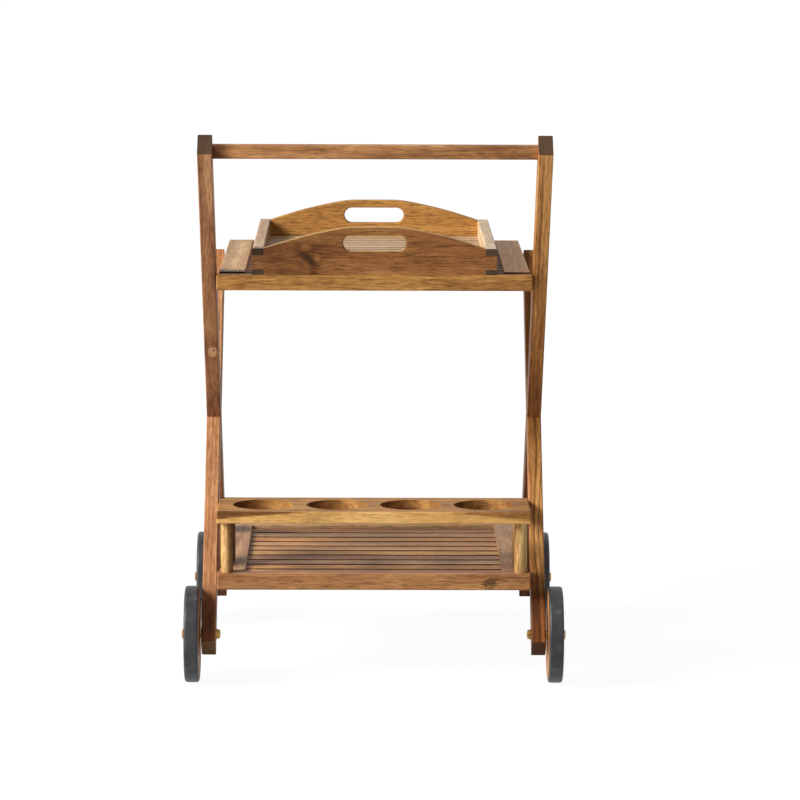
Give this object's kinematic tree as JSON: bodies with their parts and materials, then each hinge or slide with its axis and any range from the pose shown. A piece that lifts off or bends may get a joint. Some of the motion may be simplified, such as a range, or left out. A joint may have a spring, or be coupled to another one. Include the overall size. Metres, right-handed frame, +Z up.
{
  "type": "bar cart",
  "caption": "Wooden bar cart with X-shaped side frames, a lift-off tray on the upper slatted shelf, a bottle rack above the lower one, a handle bar and rubber-tyred wheels.",
  "frame": {"origin": "on the floor under the middle of the bounding box", "axes": "+Z up, +Y from the handle end to the far end, +X to the right seen from the handle end"},
  "size_m": [0.5816, 0.698, 0.8379],
  "materials": {
    "frame_wood": "satin oiled acacia",
    "rack_wood": "satin oiled acacia",
    "tray_wood": "satin oiled acacia",
    "wheel_wood": "satin oiled acacia",
    "tyre_rubber": "matt black rubber",
    "bush_brass": "plain turned",
    "axle_brass": "bright yellow plated",
    "bolt_brass": "bright yellow plated",
    "spacer_nylon": "matt brown",
    "screw_steel": "plated"
  },
  "bodies": {
    "frame": {"axle_bolts": "axle_brass", "axle_nuts": "axle_brass", "axle_spacers": "axle_brass", "axle_washers": "axle_brass", "bolt_spacers": "spacer_nylon", "cleat_screws": "screw_steel", "handle_bar": "frame_wood", "lap_pins": "frame_wood", "leg_cross_left": "frame_wood", "leg_cross_right": "frame_wood", "leg_handle_left": "frame_wood", "leg_handle_right": "frame_wood", "lower_front_rail": "frame_wood", "lower_rear_rail": "frame_wood", "lower_side_board_left": "frame_wood", "lower_side_board_right": "frame_wood", "lower_slat_01": "frame_wood", "lower_slat_02": "frame_wood", "lower_slat_03": "frame_wood", "lower_slat_04": "frame_wood", "lower_slat_05": "frame_wood", "lower_slat_06": "frame_wood", "lower_slat_07": "frame_wood", "lower_slat_08": "frame_wood", "lower_slat_09": "frame_wood", "lower_slat_10": "frame_wood", "rack_board": "rack_wood", "rack_post_front_left": "rack_wood", "rack_post_front_right": "rack_wood", "rack_post_rear_left": "rack_wood", "rack_post_rear_right": "rack_wood", "shelf_bolts": "bolt_brass", "upper_cleat_left": "frame_wood", "upper_cleat_right": "frame_wood", "upper_front_rail": "frame_wood", "upper_rear_rail": "frame_wood", "upper_side_board_left": "frame_wood", "upper_side_board_right": "frame_wood", "upper_slats": "frame_wood"},
    "tray": {"tray_front_panel": "tray_wood", "tray_rear_panel": "tray_wood", "tray_side_left": "tray_wood", "tray_side_right": "tray_wood", "tray_slats": "tray_wood"},
    "wheel_front_left": {"wheel_disc_front_left": "wheel_wood", "tyre_front_left": "tyre_rubber", "wheel_bush_front_left": "bush_brass"},
    "wheel_front_right": {"wheel_disc_front_right": "wheel_wood", "tyre_front_right": "tyre_rubber", "wheel_bush_front_right": "bush_brass"},
    "wheel_rear_left": {"wheel_disc_rear_left": "wheel_wood", "tyre_rear_left": "tyre_rubber", "wheel_bush_rear_left": "bush_brass"},
    "wheel_rear_right": {"wheel_disc_rear_right": "wheel_wood", "tyre_rear_right": "tyre_rubber", "wheel_bush_rear_right": "bush_brass"}
  },
  "joints": [
    {"name": "wheel_front_left_spin", "type": "hinge", "parent": "frame", "child": "wheel_front_left", "pos_m": [-0.2748, -0.21311, 0.073], "axis": [1, 0, 0], "continuous": true},
    {"name": "wheel_front_right_spin", "type": "hinge", "parent": "frame", "child": "wheel_front_right", "pos_m": [0.2748, -0.21311, 0.073], "axis": [1, 0, 0], "continuous": true},
    {"name": "wheel_rear_left_spin", "type": "hinge", "parent": "frame", "child": "wheel_rear_left", "pos_m": [-0.2748, 0.276, 0.073], "axis": [1, 0, 0], "continuous": true},
    {"name": "wheel_rear_right_spin", "type": "hinge", "parent": "frame", "child": "wheel_rear_right", "pos_m": [0.2748, 0.276, 0.073], "axis": [1, 0, 0], "continuous": true},
    {"name": "tray_lift", "type": "slide", "parent": "frame", "child": "tray", "axis": [0, 0, 1], "range_m": [0, 0.25]}
  ]
}
